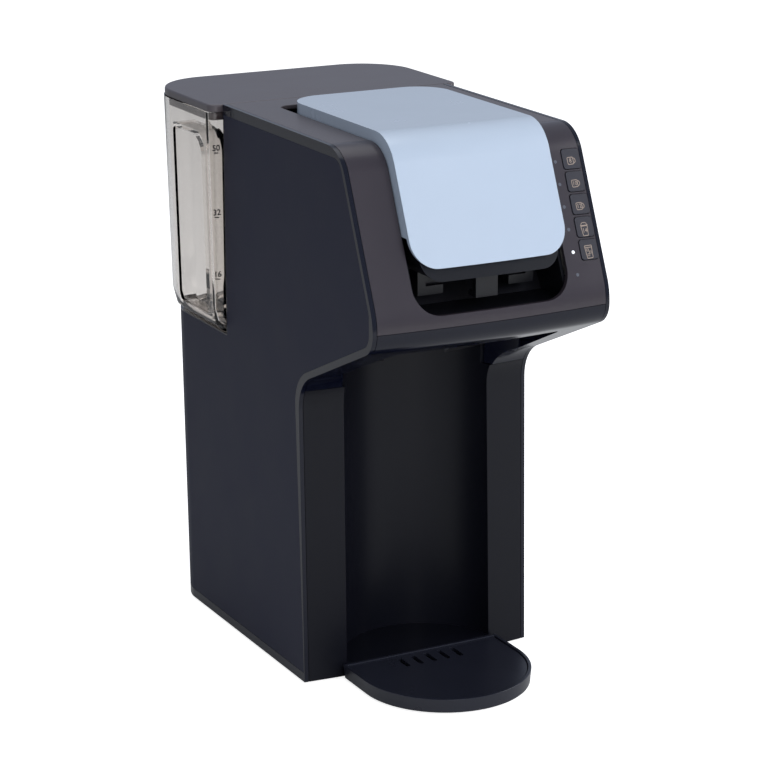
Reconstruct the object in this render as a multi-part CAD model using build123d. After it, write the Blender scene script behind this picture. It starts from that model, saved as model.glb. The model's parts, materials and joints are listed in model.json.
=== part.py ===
from build123d import *
import math
import os

# Pod coffee maker, in millimetres: +Z up, the brewing head faces -Y, x = 0 is its middle plane.
# Sizes below are given from the foot of the column (y = 0) and the surface it stands on (z = 0).
# The finished pieces are moved so that the origin is the middle of the underside.

# Overall body
top_z = 330.0
body_half_width = 75.5
foot_height = 1.5
body_rear_y = 102.6
crown_radius = 780.0
wall = 2.5
seam = 0.3

# Side profile of the column and the head
column_top_y = 5.0
column_top_z = 184.3
column_fillet = 24.0
underside_angle = 24.2
lip_y = -86.0
lip_radius = 14.0
fascia_foot_z = 241.9
fascia_foot_radius = 34.0
fascia_angle = 23.4
head_corner_radius = 22.0

# Lower rear body
rear_block_front_y = 60.0
rear_foot_y = 189.0
rear_rim_y = 195.0
rear_rim_z = 190.0
rear_corner_radius = 30.0

# Side shells and the panels let into them
flange_depth = 7.0
flange_thickness = 2.0
corner_seam_x = 57.0
corner_seam_y = 150.0
panel_thickness = 0.8
panel_top_band = 5.9
panel_front_band = 2.8
panel_under_band = 4.2
panel_column_band_top = 5.5
panel_column_band_foot = 1.5
panel_corner_radius = 10.0
panel_lip_radius = 9.0
panel_knee_radius = 8.0
panel_lip_band = 4.5
panel_rear_gap = 0.6
panel_foot_z = 7.0

# Head covers
fascia_seam_y = -32.0
fascia_seam_z = 234.3
pillar_seam_z = 180.0
opening_half_width = 49.5
opening_rear_y = 83.0
opening_rear_radius = 7.0
opening_foot_z = 241.2
opening_foot_radius = 16.0
underside_open_front_y = -71.0
underside_open_rear_y = -18.0
underside_open_half_front = 53.0
underside_open_half_rear = 58.0
underside_upstand = 9.0
upstand_wall = 2.0
underside_open_front_radius = 6.0
underside_open_rear_radius = 4.0

# Cup bay in the column
bay_half_width = 47.6
bay_depth = 40.0
bay_edge_y = 3.0
bay_ceiling_z = 214.0
bay_floor_z = 9.2

# Brew lid
lid_proud_top = 6.2
lid_proud_front = 7.0
lid_corner_radius = 24.0
lid_side_gap = 0.5
lid_skin = 2.5
lid_sink = 2.0
lid_foot_z = 267.0
lid_foot_radius = 15.0
lid_side_foot_z = 283.0
lid_rear_gap = 9.5
lid_rear_radius = 21.0
liner_gap = 0.3
liner_side_step = 5.0
liner_wall = 2.2
liner_rise = 4.5
liner_rear_y = 40.0
liner_lip_drop = 3.0
guide_inner_x = 21.0
guide_outer_x = 37.0
guide_front_y = -66.0
guide_depth = 7.0
guide_drop = 15.0
guide_step = 5.0

# Lid hinge and latch
hinge_setback = 9.5
hinge_drop = 8.0
hinge_pin_radius = 2.0
hinge_running_gap = 0.05
hinge_arm_x = 38.0
hinge_arm_width = 5.0
hinge_arm_radius = 6.0
ear_gap = 0.4
ear_width = 3.5
ear_radius = 4.2
latch_pivot_y = -76.0
latch_pivot_drop = 0.5
latch_clearance = 6.0
latch_thickness = 4.0
latch_hook = 3.0
latch_hook_reach = 9.0
latch_width = 14.0
latch_pin_radius = 1.2
latch_drop = 18.0
latch_boss = 4.0

# Brewing chassis and the pod holder
pod_y = -15.0
deck_z = 258.0
deck_thickness = 3.0
deck_front_y = -47.0
deck_step_y = -58.0
deck_step_drop = 1.2
chassis_wall = 2.0
holder_flange_radius = 30.0
holder_flange_thickness = 3.0
holder_top_radius = 25.6
holder_foot_radius = 20.5
holder_depth = 40.0
holder_wall = 1.8
cup_top_radius = 23.4
cup_foot_radius = 18.4
cup_depth = 36.0
well_gap = 0.6
well_wall = 2.0
nozzle_offset = 12.0
nozzle_radius = 6.5
nozzle_bore = 3.2
nozzle_foot_z = 198.0
needle_radius = 1.6
needle_bore = 0.6
upper_needle_length = 13.5
upper_needle_offset = 4.0
lower_needle_offset = 10.0
needle_tip = 3.0
needle_base_radius = 4.0
needle_base_height = 2.0
needle_base_sink = 1.5
needle_point = 0.3
lower_needle_height = 9.0
seal_outer_radius = 17.0
seal_inner_radius = 13.0
seal_thickness = 2.5
shroud_rise = 11.0
shroud_gap = 0.5
funnel_depth = 9.0
funnel_neck_radius = 11.5
holder_tab_width = 18.0
holder_tab_reach = 9.0
cup_wall = 1.4
hinge_shelf_reach = 8.0
arm_slot_front = 5.0
arm_slot_rear = 10.0

# Buttons and lights on the right of the fascia
button_inset = 9.2
button_width = 11.4
button_height = 11.4
button_top_z = 312.6
button_pitch_z = 12.0
button_count = 5
button_proud = 0.5
button_gap = 0.35
button_radius = 1.6
button_depth = 2.2
button_stem = 4.0
stem_edge = 0.5
button_stem_length = 3.4
button_travel = 1.0
light_offset = 6.1
light_proud = 0.15
light_top_z = 312.0
light_pitch_z = 11.9
light_count = 6
light_radius = 1.0
pad_depth = 9.0
pad_thickness = 1.6
pad_post_inset = 11.5
pad_post_radius = 1.8
pad_margin = 10.0
dome_radius = 3.0
board_thickness = 1.6
board_width = 20.0
board_shift = 4.0
dome_gap = 0.2

# Drip tray
tray_radius = 52.2
tray_centre_y = -32.0
tray_height = 10.0
tray_wall = 2.2
tray_floor = 2.0
tray_draft = 0.7
tray_plate_drop = 0.8
tray_plate_thickness = 2.0
tray_plate_gap = 0.4
tray_slot_count = 5
tray_slot_pitch = 9.0
tray_slot_length = 14.0
tray_slot_width = 3.0
tray_slot_setback = 12.0
tray_foot_radius = 5.0
tray_foot_spread = 28.7
tray_foot_setback = 10.0

# Water tank
tank_front_gap = 1.2
tank_rear_overhang = 3.5
tank_side_overhang = 8.5
tank_lid_height = 4.8
tank_waist_rise = 15.0
tank_waist_side_step = 2.5
tank_waist_rear_step = 1.1
tank_knee_rise = 5.0
tank_knee_side_step = 4.6
tank_knee_rear_step = 2.5
tank_foot_side_step = 9.5
tank_foot_rear_step = 5.5
tank_knee_front_step = 0.4
tank_foot_front_step = 2.0
tank_front_radius = 6.0
tank_rear_radius = 36.0
tank_wall = 2.4
plug_side_step = 5.5
plug_front_step = 3.7
plug_rear_step = 9.0
plug_front_radius = 4.0
plug_radius = 26.0
grip_front_step = 13.2
grip_length = 41.0
grip_depth = 11.0
grip_top_drop = 16.2
grip_foot_rise = 9.5
grip_corner = 3.0
grip_round = 12.0
tank_lid_inset = 0.6
tank_lid_edge = 1.2
tank_lid_skirt = 5.0
tank_lid_gap = 0.5
tank_lid_skirt_wall = 2.0
valve_x = 0.0
valve_y = 146.0
valve_radius = 9.0
valve_drop = 6.0
poppet_radius = 5.5
poppet_stem_radius = 2.0
poppet_head = 2.5
poppet_stem = 7.0
neck_gap = 1.6
cage_height = 12.0
cage_plate = 2.0
cage_leg = 1.0
cage_brim = 3.0
cage_leg_gap = 1.6
cage_legs = 3

# Platform under the tank
platform_floor_z = 178.0
platform_floor = 2.5
platform_top_drop = 2.0
rest_gap = 0.3
socket_wall = 2.4
socket_depth = 9.0
platform_rim_gap = 0.6

# Base, feet and rear cover
foot_radius = 9.0
foot_recess = 1.0
foot_x = 52.0
foot_front_y = 58.0
foot_rear_y = 152.0
gland_x = 38.0
gland_z = 24.0
gland_radius = 6.5
gland_bore = 3.6
vent_count = 7
vent_pitch = 7.0
vent_width = 3.0
vent_height = 34.0
vent_z = 120.0
screw_front_y = 84.0
screw_rear_y = 112.0
screw_radius = 1.6
screw_head_radius = 3.2
screw_head_height = 1.4
boss_radius = 4.5
boss_height = 12.0

# Pumps, heater and tubes inside the column
heater_radius = 24.0
heater_height = 96.0
heater_y = 82.0
heater_foot_z = 14.0
pump_radius = 17.0
pump_length = 62.0
pump_y = 146.0
pump_z = 38.0
air_pump_width = 26.0
air_pump_length = 44.0
air_pump_height = 28.0
air_pump_x = 52.0
tube_radius = 3.5
tube_bend = 14.0
tube_wall = 1.0
heater_post_radius = 3.0
heater_post_inset = 5.0
heater_edge = 4.0
heater_spout = 10.0
heater_inlet = 8.0
cradle_half_length = 14.0
cradle_half_width = 12.0
coil_rise = 4.0
air_pump_edge = 4.0
feed_drop = 34.0
feed_reach = 26.0
feed_slant = 32.0
heater_tube_reach = 20.0
brew_tube_drop = 40.0
brew_tube_start = 2.0
gland_length = 8.0
gland_flange = 2.0
gland_flange_thickness = 1.6
gland_proud = 0.5
gland_play = 0.05
screw_end_gap = 1.0

# Values worked out from the sizes above
hinge_z = top_z - hinge_drop
lid_half_width = opening_half_width - lid_side_gap
lid_rear_y = opening_rear_y - lid_rear_gap
hinge_y = lid_rear_y - hinge_setback
liner_half_width = lid_half_width - liner_side_step
liner_foot_z = deck_z + liner_rise
latch_pivot_z = lid_foot_z - latch_pivot_drop
deck_step_z = opening_foot_z - deck_step_drop
nozzle_y = pod_y + nozzle_offset
button_x = body_half_width - button_inset
light_x = opening_half_width + light_offset
pad_post_x = body_half_width - pad_post_inset
panel_rear_y = body_rear_y - panel_rear_gap
tank_front_y = body_rear_y + tank_front_gap
tank_rear_y = rear_rim_y + tank_rear_overhang
tank_half_width = body_half_width + tank_side_overhang
tank_top_z = top_z - tank_lid_height
plug_half_width = tank_half_width - tank_foot_side_step - plug_side_step
plug_front_y = tank_front_y + plug_front_step
plug_rear_y = tank_rear_y - tank_foot_rear_step - plug_rear_step
crown = crown_radius - math.sqrt(crown_radius ** 2 - body_half_width ** 2)
crown_axis_y = lip_y - crown + crown_radius
y_middle = (tank_rear_y + lip_y - crown) / 2
underside_slope = math.tan(math.radians(underside_angle))
fascia_slope = math.tan(math.radians(fascia_angle))
lip_z = column_top_z + (column_top_y - lip_y) * underside_slope
head_corner_y = lip_y + (top_z - fascia_foot_z) * fascia_slope
column_rake = column_top_y / column_top_z
bay_centre_y = (bay_depth ** 2 - bay_edge_y ** 2 - bay_half_width ** 2) / (2 * (bay_depth - bay_edge_y))
bay_radius = bay_depth - bay_centre_y
push_axis = (0.0, math.cos(math.radians(fascia_angle)), -math.sin(math.radians(fascia_angle)))
cover_half_width = body_half_width - wall - seam
tray_rear_y = foot_height * column_rake - crown - rest_gap
far = 400.0


def block(x0, x1, y0, y1, z0, z1):
    """A box between two corners."""
    size = Box(x1 - x0, y1 - y0, z1 - z0)
    return Pos((x0 + x1) / 2, (y0 + y1) / 2, (z0 + z1) / 2) * size


def middle_block(half_width, y0, y1, z0, z1):
    """A box that is the same to the left and the right."""
    return block(-half_width, half_width, y0, y1, z0, z1)


def drum(radius, x, y, z0, z1):
    """An upright cylinder."""
    return Pos(x, y, (z0 + z1) / 2) * Cylinder(radius, z1 - z0)


def cone(foot_radius, top_radius, x, y, z0, z1):
    """An upright tapered round."""
    return Pos(x, y, (z0 + z1) / 2) * Cone(foot_radius, top_radius, z1 - z0)


def cross_bar(radius, y, z, x0, x1):
    """A cylinder that lies along X."""
    return Pos((x0 + x1) / 2, y, z) * Rot(0, 90, 0) * Cylinder(radius, x1 - x0)


def side_face(points, radii):
    """A closed outline in the YZ plane, with a radius for each corner."""
    return Plane.YZ * make_face(FilletPolyline(*points, radius=radii, close=True))


def across(face, half_width):
    """A YZ outline made as wide as the half width on both sides."""
    return extrude(face, amount=half_width, both=True)


def plan_face(points, radii, z):
    """A closed outline seen from above."""
    return Pos(0, 0, z) * make_face(FilletPolyline(*points, radius=radii, close=True))


def upright(points, radii, z0, z1):
    """A plan outline between two heights."""
    return extrude(plan_face(points, radii, z0), amount=z1 - z0)


def mirrored(shape):
    """The same piece on the other side."""
    return mirror(shape, about=Plane.YZ)


def crowned(face, half_width):
    """A side outline swept round the gentle bow of the front."""
    axis = Axis((0, crown_axis_y, 0), (0, 0, 1))
    half_turn = 1.5 * math.degrees(math.asin(body_half_width / (crown_axis_y - body_rear_y)))
    swept = revolve(face, axis=axis, revolution_arc=2 * half_turn)
    swept = swept.rotate(axis, -half_turn)
    return swept & middle_block(half_width, -far, far, -far, far)


def head_rear(inset):
    """Everything in front of the flat rear of the head."""
    return middle_block(far, -far, body_rear_y - inset, -far, far)


def profile_points():
    """Corners of the column and head outline, from the foot of the column round to the rear."""
    return [
        (foot_height * column_rake - crown, foot_height),
        (column_top_y - crown, column_top_z),
        (lip_y - crown, lip_z),
        (lip_y - crown, fascia_foot_z),
        (head_corner_y - crown, top_z),
        (body_rear_y, top_z),
        (body_rear_y, foot_height),
    ]


def profile_radii():
    return [0, column_fillet, lip_radius, fascia_foot_radius, head_corner_radius, 0, 0]


def front_block(inset, half_width):
    """The column and the head, drawn in by the inset all round."""
    face = side_face(profile_points(), profile_radii())
    if inset > 0:
        face = offset(face, amount=-inset)
    return crowned(face, half_width) & head_rear(inset)


def rounded_plan(half_width, y0, y1, front_radius, rear_radius, z):
    """A rectangle seen from above with its own front and rear corner radii."""
    points = [(-half_width, y0), (half_width, y0), (half_width, y1), (-half_width, y1)]
    return plan_face(points, [front_radius, front_radius, rear_radius, rear_radius], z)


def rear_block(inset):
    """The lower rear of the body, open at its top when it is drawn in."""
    foot_z = foot_height + inset
    half = body_half_width - inset
    radius = rear_corner_radius - inset
    foot = rounded_plan(half, rear_block_front_y, rear_foot_y - inset, 0, radius, foot_z)
    rim = rounded_plan(half, rear_block_front_y, rear_rim_y - inset, 0, radius, rear_rim_z)
    return loft([foot, rim], ruled=True)


def body_block(inset):
    """The whole body, drawn in by the inset."""
    return front_block(inset, body_half_width - inset) + rear_block(inset)


outer_body = body_block(0)
inner_body = body_block(wall)
body_shell = outer_body - inner_body


def panel_outline():
    """Corners of the panel let into the side, from its foot round the head."""
    foot_y = foot_height * column_rake + panel_column_band_foot
    column_y = column_top_y + panel_column_band_top
    drop = panel_under_band / math.cos(math.radians(underside_angle))
    inner_z = column_top_z + drop + (column_top_y - column_y) * underside_slope
    front_y = lip_y + panel_lip_band
    lip_inner_z = column_top_z + drop + (column_top_y - front_y) * underside_slope
    shift = panel_front_band / math.cos(math.radians(fascia_angle))
    top_inner_z = top_z - panel_top_band
    corner_y = lip_y + shift + (top_inner_z - fascia_foot_z) * fascia_slope
    knee_z = fascia_foot_z + (front_y - lip_y - shift) / fascia_slope
    return [
        (foot_y, panel_foot_z),
        (column_y, inner_z),
        (front_y, lip_inner_z),
        (front_y, knee_z),
        (corner_y, top_inner_z),
        (panel_rear_y, top_inner_z),
        (panel_rear_y, panel_foot_z),
    ]


def side_panel_right():
    """Matte panel let into the right side shell and round the lower rear corner."""
    corners = [panel_lip_radius, panel_knee_radius, panel_corner_radius]
    radii = [0, column_fillet] + corners + [0, 0]
    outline = across(side_face(panel_outline(), radii), far)
    skin = outer_body - body_block(panel_thickness)
    upper = outline & block(body_half_width - panel_thickness, far, -far, far, -far, far)
    lower = block(corner_seam_x, far, panel_rear_y - 1, far, panel_foot_z, rear_rim_z - panel_thickness)
    return skin & (upper + lower)


def flange_ring():
    """Rim inside the right side shell that the covers sit on."""
    outer_ring = front_block(wall + seam, body_half_width - wall)
    inner_ring = front_block(wall + seam + flange_thickness, body_half_width)
    ring = outer_ring - inner_ring
    x0 = body_half_width - wall - flange_depth
    ring = ring & block(x0, far, -far, far, -far, far)
    ring = ring - block(x0 - 1, far, -far, fascia_seam_y, fascia_seam_z, top_z - wall * 3)
    return ring - block(x0 - 1, far, column_top_y, far, -far, rear_rim_z)


def housing_right():
    """Right side shell: its side wall, the rear corner and the inner rim."""
    side_wall = outer_body & block(body_half_width - wall, far, -far, far, -far, far)
    corner = body_shell & block(corner_seam_x, far, corner_seam_y, far, -far, far)
    corner = corner - inner_plan(seam, -far, foot_height + wall + seam)
    shell = side_wall + corner + flange_ring()
    shell = shell - side_panel_right()
    return shell


def fascia_normal():
    """Direction that the sloped front faces."""
    return Vector(0, -push_axis[1], -push_axis[2])


def fascia_point(x, z, depth):
    """A point under the sloped front, at the given depth below its surface."""
    side_y = lip_y + (z - fascia_foot_z) * fascia_slope
    bow = crown - (crown_radius - math.sqrt(crown_radius ** 2 - x ** 2))
    surface = Vector(x, side_y - bow, z)
    return surface - fascia_normal() * depth


def fascia_prism(x, z, width, height, radius, depth_in, depth_out):
    """A rounded block that passes through the front square to it."""
    origin = fascia_point(x, z, depth_in)
    plane = Plane(origin=origin, x_dir=(1, 0, 0), z_dir=fascia_normal())
    return extrude(plane * RectangleRounded(width, height, radius), amount=depth_in + depth_out)


def fascia_rod(x, z, radius, depth_in, depth_out):
    """A round rod that passes through the front square to it."""
    origin = fascia_point(x, z, depth_in)
    plane = Plane(origin=origin, x_dir=(1, 0, 0), z_dir=fascia_normal())
    return extrude(plane * Circle(radius), amount=depth_in + depth_out)


def pad_post_places():
    """Heights of the two posts that carry the pad and the board."""
    reach = button_height / 2 + pad_post_radius + 1
    return [button_top_z + reach, button_z(button_count - 1) - reach]


def button_z(index):
    return button_top_z - index * button_pitch_z


def light_z(index):
    return light_top_z - index * light_pitch_z


def front_opening(grow):
    """The tall opening in the front and the top that the lid covers."""
    half = opening_half_width + grow
    foot = opening_foot_z - grow
    radius = opening_foot_radius + grow
    points = [(-half, foot), (half, foot), (half, top_z + far), (-half, top_z + far)]
    outline = FilletPolyline(*points, radius=[radius, radius, 0, 0], close=True)
    face = Plane.XZ * make_face(outline)
    return extrude(face, amount=far, both=True) & middle_block(far, -far, 0, -far, far)


def top_opening(grow):
    """The opening in the top cover, from the front to behind the hinge."""
    half = opening_half_width + grow
    rear = opening_rear_y + grow
    radius = opening_rear_radius + grow
    points = [(-half, -far), (half, -far), (half, rear), (-half, rear)]
    return upright(points, [0, 0, radius, radius], top_z - 8 * wall, top_z + far)


def top_cover():
    """Flat cover over the head, open round the brew lid."""
    region = middle_block(cover_half_width, fascia_seam_y + seam / 2, far, top_z - wall, far)
    return (body_shell & region) - top_opening(0)


def front_fascia():
    """Sloped front panel with the openings for the lid, the buttons and the lights."""
    region = middle_block(cover_half_width, -far, fascia_seam_y - seam / 2, fascia_seam_z + seam / 2, far)
    fascia = (body_shell & region) - front_opening(0)
    for index in range(button_count):
        hole = button_width + 2 * button_gap
        tall = button_height + 2 * button_gap
        fascia = fascia - fascia_prism(button_x, button_z(index), hole, tall, button_radius, 4 * wall, wall)
    for index in range(light_count):
        fascia = fascia - fascia_rod(light_x, light_z(index), light_radius, 4 * wall, wall)
    for z in pad_post_places():
        fascia = fascia + fascia_rod(pad_post_x, z, pad_post_radius, pad_depth, -wall / 2)
    return fascia


def underside_opening(grow):
    """Opening in the underside of the head above the cup."""
    front = underside_open_front_y - grow
    rear = underside_open_rear_y
    wide = underside_open_half_rear + grow
    narrow = underside_open_half_front + grow
    bay = bay_half_width + grow
    points = [(-narrow, front), (narrow, front), (wide, rear), (bay, column_top_y + grow)]
    points = points + [(bay, bay_depth), (-bay, bay_depth), (-bay, column_top_y + grow), (-wide, rear)]
    front_radius = underside_open_front_radius
    rear_radius = underside_open_rear_radius
    radii = [front_radius, front_radius, rear_radius, 0, 0, 0, 0, rear_radius]
    return upright(points, radii, pillar_seam_z - bay_depth, fascia_seam_z + bay_depth)


def head_underside():
    """Underside of the head: the front lip, the two side strips and a low wall round the opening."""
    foot = pillar_seam_z + seam / 2
    region = middle_block(cover_half_width, -far, 2 * column_fillet, foot, fascia_seam_z - seam / 2)
    skin = body_shell & region
    deep = outer_body - body_block(wall + underside_upstand)
    low_wall = deep & underside_opening(upstand_wall) & region
    behind = block(-far, far, column_top_y + upstand_wall, far, -far, far)
    return (skin + low_wall) - underside_opening(0) - behind


def cup_bay():
    """Column front, the hollow back of the cup bay and its floor."""
    top = pillar_seam_z - seam / 2
    front_region = middle_block(cover_half_width, -far, bay_edge_y + column_fillet, -far, top)
    pillars = front_block(0, cover_half_width) - front_block(wall, far)
    pillars = pillars & front_region
    pillars = pillars & block(-far, far, -far, column_top_y + 2 * wall, foot_height, far)
    barrel = drum(bay_radius + wall, 0, bay_centre_y, foot_height, bay_ceiling_z)
    hollow = drum(bay_radius, 0, bay_centre_y, bay_floor_z, bay_ceiling_z + 1)
    inside = front_block(0, cover_half_width)
    low = block(-far, far, bay_centre_y, far, -far, pillar_seam_z - seam / 2)
    high = block(-far, far, column_top_y + upstand_wall + seam, far, -far, far)
    back = barrel & inside & (low + high)
    bay = (pillars + back) - hollow
    ceiling = drum(bay_radius, 0, bay_centre_y, bay_ceiling_z - wall, bay_ceiling_z) & high
    bay = bay + ceiling
    under = drum(bay_radius - wall, 0, bay_centre_y, -far, bay_floor_z - wall)
    under = under & block(-far, far, column_top_y + wall, far, -far, far)
    return bay - under


def base_plate():
    """Floor of the body, round the cup bay, with bosses for the screws."""
    plate = inner_plan(0, foot_height, foot_height + wall)
    plate = plate - drum(bay_radius + wall + seam, 0, bay_centre_y, -far, far)
    plate = plate - block(-far, far, -far, column_top_y + 2 * wall + seam, -far, far)
    for x in (-foot_x, foot_x):
        for y in (foot_front_y, foot_rear_y):
            plate = plate - drum(foot_radius, x, y, -far, foot_height + foot_recess)
    for x, y in screw_places():
        plate = plate + drum(boss_radius, x, y, foot_height, foot_height + boss_height)
        plate = plate - drum(screw_radius, x, y, -far, foot_height + boss_height - wall)
        plate = plate - drum(screw_head_radius, x, y, -far, foot_height + screw_head_height)
    plate = plate + heater_posts() + pump_cradle()
    return plate


def inner_plan(grow, z0, z1):
    """The footprint inside the side shells, between two heights."""
    half = cover_half_width + grow
    rear = rear_foot_y - wall - seam + grow
    radius = rear_corner_radius - wall - seam + grow
    points = [(-half, -far), (half, -far), (half, rear), (-half, rear)]
    return upright(points, [0, 0, radius, radius], z0, z1)


def screw_places():
    """Where the four screws go up through the base."""
    return [(x, y) for y in (screw_front_y, screw_rear_y) for x in (-foot_x, foot_x)]


def base_screws():
    """Four screws in the base."""
    screws = []
    for x, y in screw_places():
        head = drum(screw_head_radius - seam, x, y, foot_height + seam, foot_height + screw_head_height)
        shank = drum(screw_radius, x, y, foot_height + seam, foot_height + boss_height - wall - screw_end_gap)
        screws.append(head + shank)
    return screws


def rubber_feet():
    """Four round feet let into the base."""
    feet = []
    for x in (-foot_x, foot_x):
        for y in (foot_front_y, foot_rear_y):
            feet.append(drum(foot_radius, x, y, 0, foot_height + foot_recess))
    return feet


def heater_posts():
    """Short posts that carry the water heater."""
    posts = []
    reach = heater_radius - heater_post_inset
    for x in (-reach, reach):
        posts.append(drum(heater_post_radius, x, heater_y, foot_height, heater_foot_z))
    return posts[0] + posts[1]


def pump_cradle():
    """Saddle that carries the water pump."""
    half = cradle_half_width
    saddle = middle_block(cradle_half_length, pump_y - half, pump_y + half, foot_height, pump_z)
    return saddle - cross_bar(pump_radius, pump_y, pump_z, -far, far)


def water_heater():
    """Upright heater with its cap and two spouts."""
    top = heater_foot_z + heater_height
    can = drum(heater_radius, 0, heater_y, heater_foot_z, top)
    can = fillet(can.edges().filter_by(GeomType.CIRCLE), heater_edge)
    spout = drum(tube_radius - tube_wall, 0, heater_y, top, top + heater_spout)
    inlet = cross_bar(tube_radius - tube_wall, heater_y, pump_z, 0, heater_radius + heater_inlet)
    return can + spout + inlet


def water_pump():
    """Vibration pump that lies in its saddle."""
    body = cross_bar(pump_radius, pump_y, pump_z, -pump_length / 2, pump_length / 2)
    size = Box(pump_length / 2, 2 * pump_radius - coil_rise, 2 * pump_radius)
    coil = Pos(0, pump_y, pump_z + coil_rise) * size
    return body + (coil & block(-far, far, -far, far, pump_z, far))


def air_pump():
    """Small pump that clears the brewing head after a brew."""
    x0 = air_pump_x - air_pump_width / 2
    y0 = pump_y - air_pump_length / 2
    foot = foot_height + wall
    body = block(x0, x0 + air_pump_width, y0, y0 + air_pump_length, foot, foot + air_pump_height)
    return fillet(body.edges().filter_by(Axis.Z), air_pump_edge)


def tube(points):
    """A flexible tube along straight runs with round bends."""
    path = FilletPolyline(*points, radius=tube_bend)
    start = Plane(origin=path @ 0, z_dir=path % 0)
    ring = Circle(tube_radius) - Circle(tube_radius - tube_wall)
    return sweep(start * ring, path=path)


def feed_tube():
    """Tube from the tank socket down to the pump."""
    top = platform_floor_z - platform_floor - socket_depth
    end_x = -pump_length / 2
    side_x = end_x - feed_reach
    knee_z = top - feed_drop
    points = [(valve_x, valve_y, top), (valve_x, valve_y, knee_z), (side_x, valve_y, knee_z - feed_slant)]
    points = points + [(side_x, valve_y, pump_z), (end_x, valve_y, pump_z)]
    return tube(points)


def heater_tube():
    """Tube from the pump to the heater."""
    start_x = pump_length / 2
    turn_x = start_x + heater_tube_reach
    end_x = heater_radius + heater_inlet
    points = [(start_x, pump_y, pump_z), (turn_x, pump_y, pump_z)]
    points = points + [(turn_x, heater_y, pump_z), (end_x, heater_y, pump_z)]
    return tube(points)


def brew_tube():
    """Tube from the heater up to the hinge side of the head."""
    top = heater_foot_z + heater_height
    rear_wall_y = liner_rear_y + chassis_wall + seam
    bend_z = top_z - brew_tube_drop
    points = [(0, heater_y, top + brew_tube_start), (0, heater_y, bend_z), (0, rear_wall_y, bend_z)]
    return tube(points)


def head_rear_wall():
    """Upright wall of the head that faces the tank."""
    region = middle_block(cover_half_width, body_rear_y - wall, far, rear_rim_z + seam, top_z - wall - seam)
    return body_shell & region


def tank_platform():
    """Platform with the hollow that the tank stands in and the collar for its valve."""
    inset = wall + seam
    top = rear_rim_z - platform_top_drop
    half = body_half_width - inset
    radius = rear_corner_radius - inset
    rim_y = rear_rim_y - inset - platform_rim_gap
    low = rounded_plan(half, body_rear_y, rear_foot_y - inset, 0, radius, platform_floor_z - platform_floor)
    high = rounded_plan(half, body_rear_y, rim_y, 0, radius, top)
    solid = loft([low, high], ruled=True)
    hollow = plug_block(rest_gap + seam, platform_floor_z, rear_rim_z + 1)
    platform = solid - hollow
    bore = valve_radius + rest_gap
    collar_foot = platform_floor_z - platform_floor - socket_depth
    platform = platform + drum(bore + socket_wall, valve_x, valve_y, collar_foot, platform_floor_z)
    platform = platform - drum(bore, valve_x, valve_y, collar_foot + wall, platform_floor_z + 1)
    return platform - drum(tube_radius - tube_wall, valve_x, valve_y, collar_foot - 1, collar_foot + wall + 1)


def plug_block(grow, z0, z1):
    """The foot of the tank that fits the hollow in the platform."""
    half = plug_half_width + grow
    radius = plug_radius + grow
    points = [(-half, plug_front_y - grow), (half, plug_front_y - grow)]
    points = points + [(half, plug_rear_y + grow), (-half, plug_rear_y + grow)]
    return upright(points, [plug_front_radius, plug_front_radius, radius, radius], z0, z1)


def tank_section(side_step, front_step, rear_step, grow, z):
    """One level of the tank, stepped in from its rim and grown all round."""
    half = tank_half_width - side_step + grow
    front = tank_front_y + front_step - grow
    rear = tank_rear_y - rear_step + grow
    return rounded_plan(half, front, rear, tank_front_radius + grow, tank_rear_radius + grow, z)


def tank_block(grow, foot_lift, top):
    """The tapered body of the tank."""
    foot_z = rear_rim_z + rest_gap + foot_lift
    knee_z = rear_rim_z + tank_knee_rise + foot_lift
    waist_z = rear_rim_z + tank_waist_rise
    foot = tank_section(tank_foot_side_step, tank_foot_front_step, tank_foot_rear_step, grow, foot_z)
    knee = tank_section(tank_knee_side_step, tank_knee_front_step, tank_knee_rear_step, grow, knee_z)
    waist = tank_section(tank_waist_side_step, 0, tank_waist_rear_step, grow, waist_z)
    rim = tank_section(0, 0, 0, grow, top)
    return loft([foot, knee, waist, rim], ruled=True)


def grip_recess(grow):
    """Hollow down each side of the tank for the fingers."""
    floor_x = tank_half_width - tank_waist_side_step - grip_depth - grow
    y0 = tank_front_y + grip_front_step - grow
    y1 = y0 + grip_length + 2 * grow
    z0 = rear_rim_z + grip_foot_rise - grow
    z1 = tank_top_z - grip_top_drop + grow
    points = [(y0, z0), (y1, z0), (y1, z1), (y0, z1)]
    face = side_face(points, [grip_corner, grip_corner, grip_corner, grip_round])
    channel = Pos(floor_x, 0, 0) * extrude(face, amount=far)
    return channel + mirrored(channel)


def water_tank():
    """Clear tank with its foot, the grips and the valve neck."""
    foot_z = platform_floor_z + rest_gap
    body = tank_block(0, 0, tank_top_z) + plug_block(0, foot_z, rear_rim_z + 2 * wall)
    cavity = tank_block(-tank_wall, tank_wall, tank_top_z + 1)
    cavity = cavity + plug_block(-tank_wall, foot_z + tank_wall, rear_rim_z + 2 * wall)
    cavity = cavity - grip_recess(tank_wall)
    body = (body - cavity) - grip_recess(0)
    neck = drum(valve_radius, valve_x, valve_y, foot_z - valve_drop, foot_z + tank_wall)
    body = body + neck
    bore = poppet_stem_radius + neck_gap
    body = body - drum(bore, valve_x, valve_y, -far, foot_z + tank_wall + 1)
    return body


def tank_valve():
    """Spring-loaded poppet in the foot of the tank."""
    seat_z = platform_floor_z + rest_gap + tank_wall + rest_gap
    head = drum(poppet_radius, valve_x, valve_y, seat_z, seat_z + poppet_head)
    stem = drum(poppet_stem_radius, valve_x, valve_y, seat_z - poppet_stem, seat_z)
    return head + stem


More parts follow.
